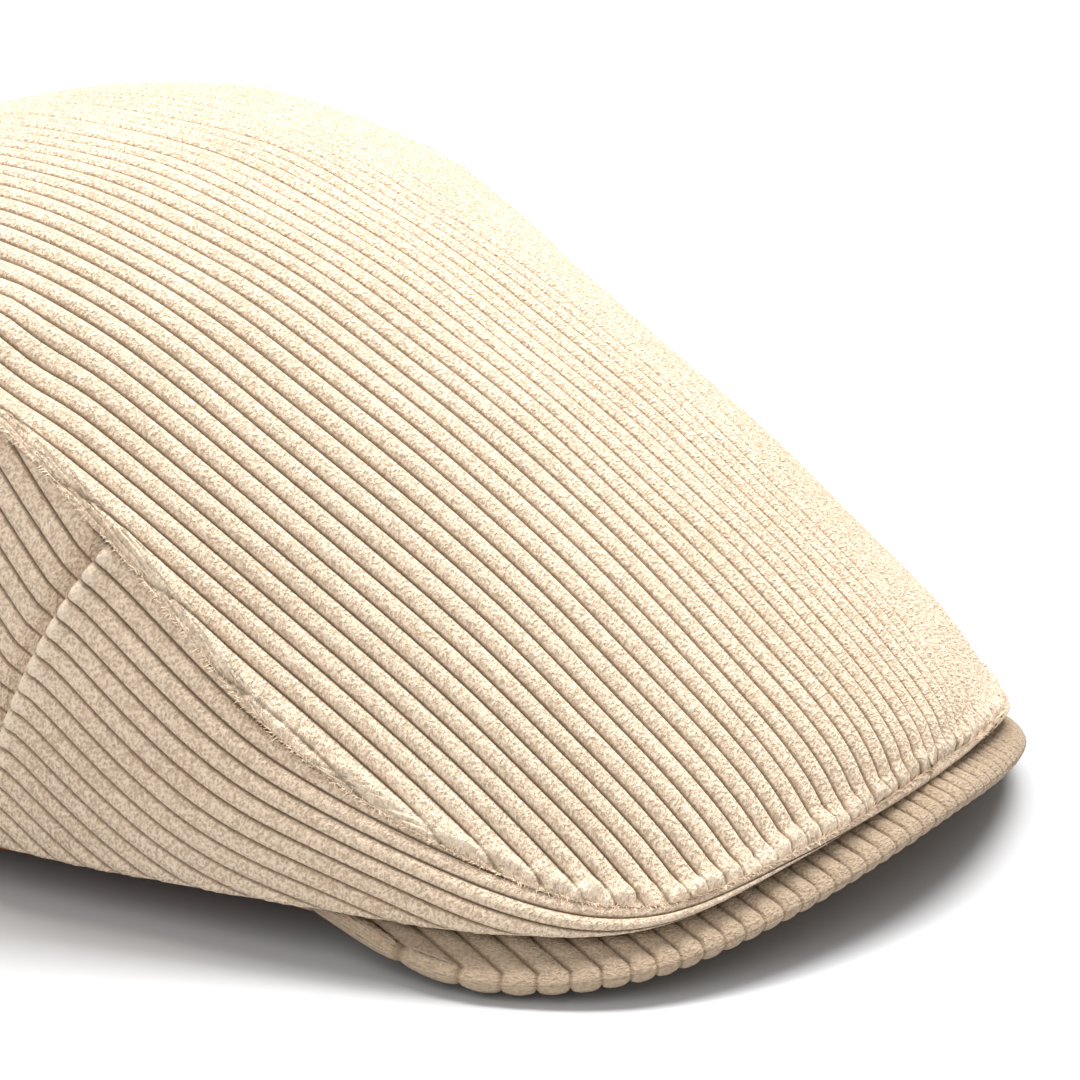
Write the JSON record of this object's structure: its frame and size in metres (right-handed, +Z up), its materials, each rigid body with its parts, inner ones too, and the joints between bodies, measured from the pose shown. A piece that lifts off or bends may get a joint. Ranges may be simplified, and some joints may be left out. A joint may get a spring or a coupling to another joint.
{
  "type": "corduroy flat cap",
  "caption": "Wide-rib corduroy flat cap with a snapped-down stiff visor, satin lining and sweatband, standing on a table.",
  "frame": {"origin": "under the middle of the cap's box, on the table it stands on", "axes": "+Z up, -Y towards the visor, the wearer's right is -X"},
  "size_m": [0.1812, 0.2776, 0.1193],
  "materials": {
    "corduroy": "sand wide-wale cotton corduroy",
    "interlining": "fused stiff interlining",
    "satin": "rust satin lining",
    "sweatband_satin": "rust satin sweatband",
    "label": "blank woven tape",
    "snap_metal": "pressed metal snap",
    "board_plastic": "flexible visor board"
  },
  "bodies": {
    "crown": {"top_panel": "corduroy", "side_panel_front_right": "corduroy", "side_panel_front_left": "corduroy", "side_panel_rear_right": "corduroy", "side_panel_rear_left": "corduroy", "crown_front_facing": "corduroy", "crown_interlining": "interlining", "lining_top": "satin", "lining_side_right": "satin", "lining_side_left": "satin", "lining_front": "satin", "sweatband": "sweatband_satin", "sweatband_elastic": "sweatband_satin", "size_label": "label", "snap_socket": "snap_metal", "snap_socket_backing": "snap_metal"},
    "visor": {"visor_board": "board_plastic", "visor_top_cover": "corduroy", "visor_under_cover": "corduroy", "snap_stud": "snap_metal"}
  },
  "joints": [
    {"name": "visor_hinge", "type": "hinge", "parent": "crown", "child": "visor", "pos_m": [0, -0.047, 0.012], "axis": [1, 0, 0], "range_deg": [0, 8], "stiffness_Nm_per_rad": 0.3, "springref_deg": -5.73}
  ]
}
